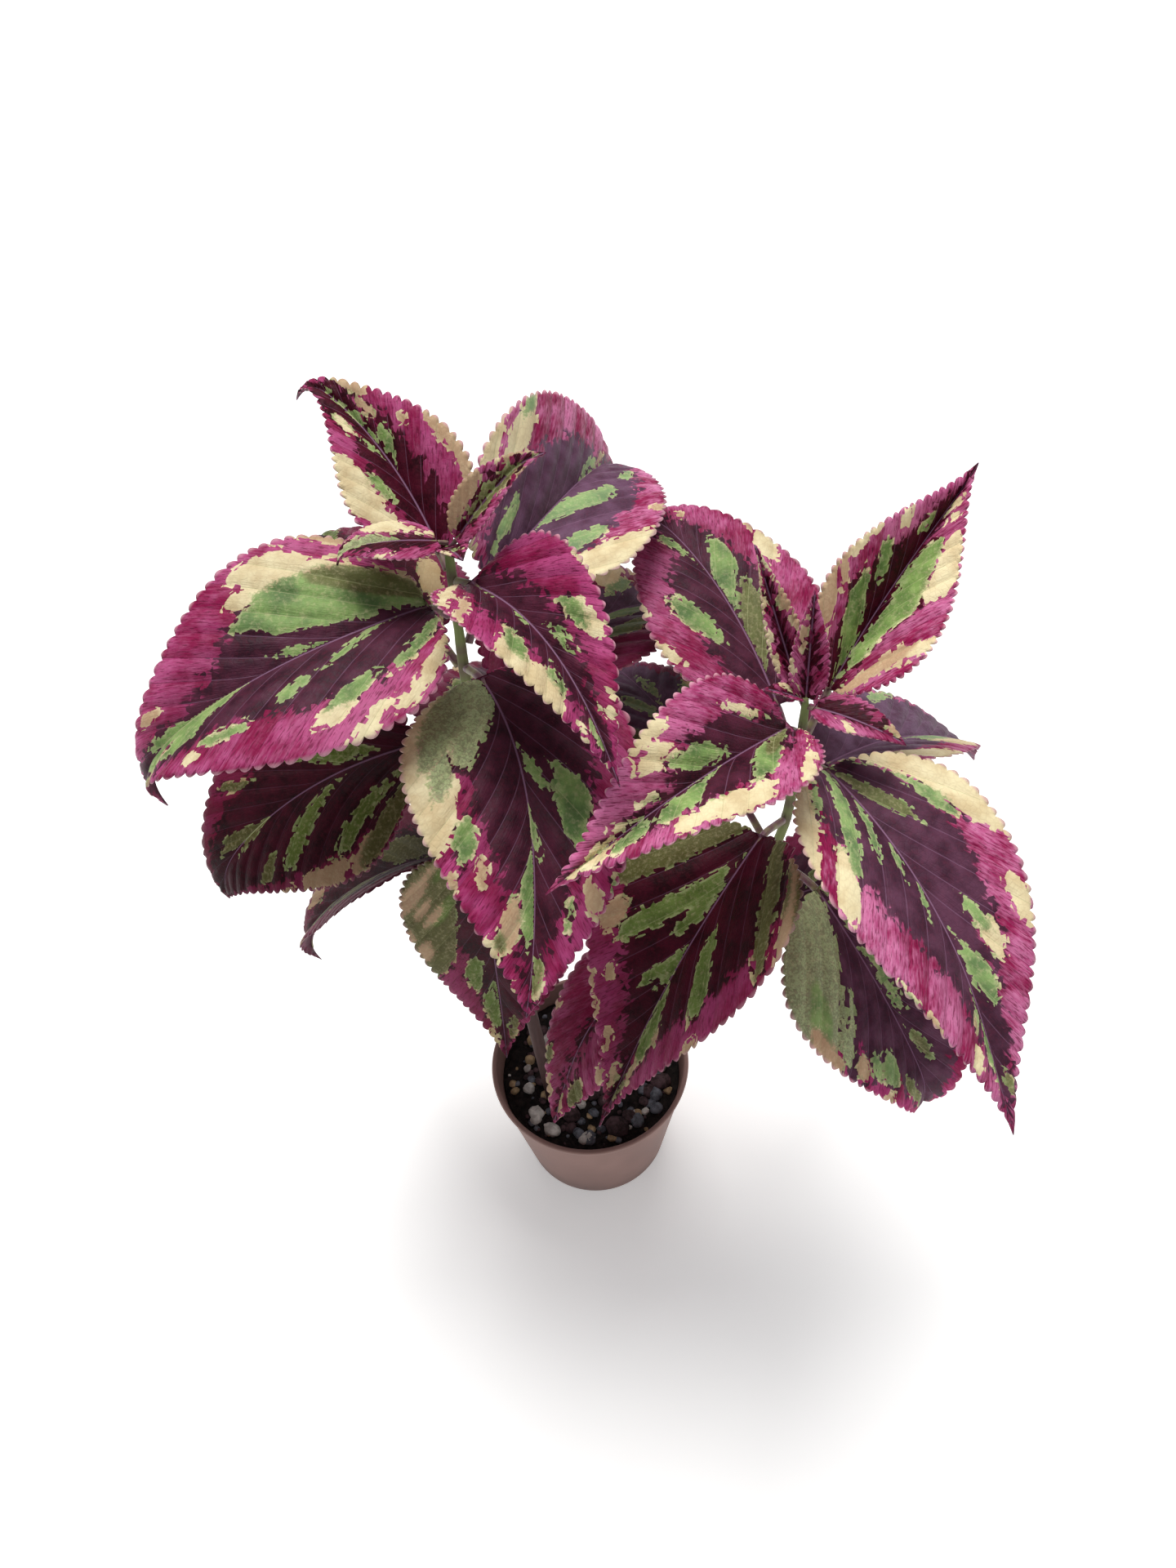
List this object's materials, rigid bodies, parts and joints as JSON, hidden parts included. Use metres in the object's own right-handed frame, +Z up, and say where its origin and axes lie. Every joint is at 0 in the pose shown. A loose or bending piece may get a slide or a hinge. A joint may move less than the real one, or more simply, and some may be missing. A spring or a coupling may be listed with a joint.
{
  "type": "potted coleus plant",
  "caption": "Coleus with broad toothed leaves splashed purple, magenta, green and cream on upright stems, growing in a small round plastic nursery pot of soil.",
  "frame": {"origin": "the middle of the pot's base, on the surface that the pot stands on", "axes": "+Z is up, +X is to the right seen from the front, and the front of the plant faces -Y"},
  "size_m": [0.2413, 0.2023, 0.3104],
  "materials": {
    "pot": "matt, dusty pinkish terracotta colour",
    "soil": "dark crumbly potting mix with pale grains",
    "stem": "satin, green above and dusty pink below",
    "leaf_purple": "soft satin, dark purple splashed with green and cream",
    "leaf_magenta": "soft satin, magenta splashed with purple, green and cream"
  },
  "bodies": {
    "root": {"pot": "pot", "soil": "soil", "stem_left": "stem", "stem_right": "stem", "leaf_left_1_back": "leaf_magenta", "leaf_left_1_front": "leaf_magenta", "leaf_left_2_side": "leaf_purple", "leaf_left_2_back": "leaf_purple", "leaf_left_3_front": "leaf_purple", "leaf_left_3_back": "leaf_purple", "leaf_left_4_side": "leaf_purple", "leaf_left_4_back": "leaf_purple", "leaf_left_5_front": "leaf_purple", "leaf_left_5_back": "leaf_purple", "leaf_left_6_side": "leaf_purple", "leaf_left_7_back": "leaf_purple", "leaf_right_1_back": "leaf_magenta", "leaf_right_1_side": "leaf_magenta", "leaf_right_2_back": "leaf_purple", "leaf_right_2_front": "leaf_purple", "leaf_right_3_side": "leaf_purple", "leaf_right_3_front": "leaf_purple", "leaf_right_4_front": "leaf_purple", "leaf_right_4_back": "leaf_purple", "leaf_right_5_front": "leaf_purple", "leaf_right_5_back": "leaf_purple"}
  },
  "joints": []
}
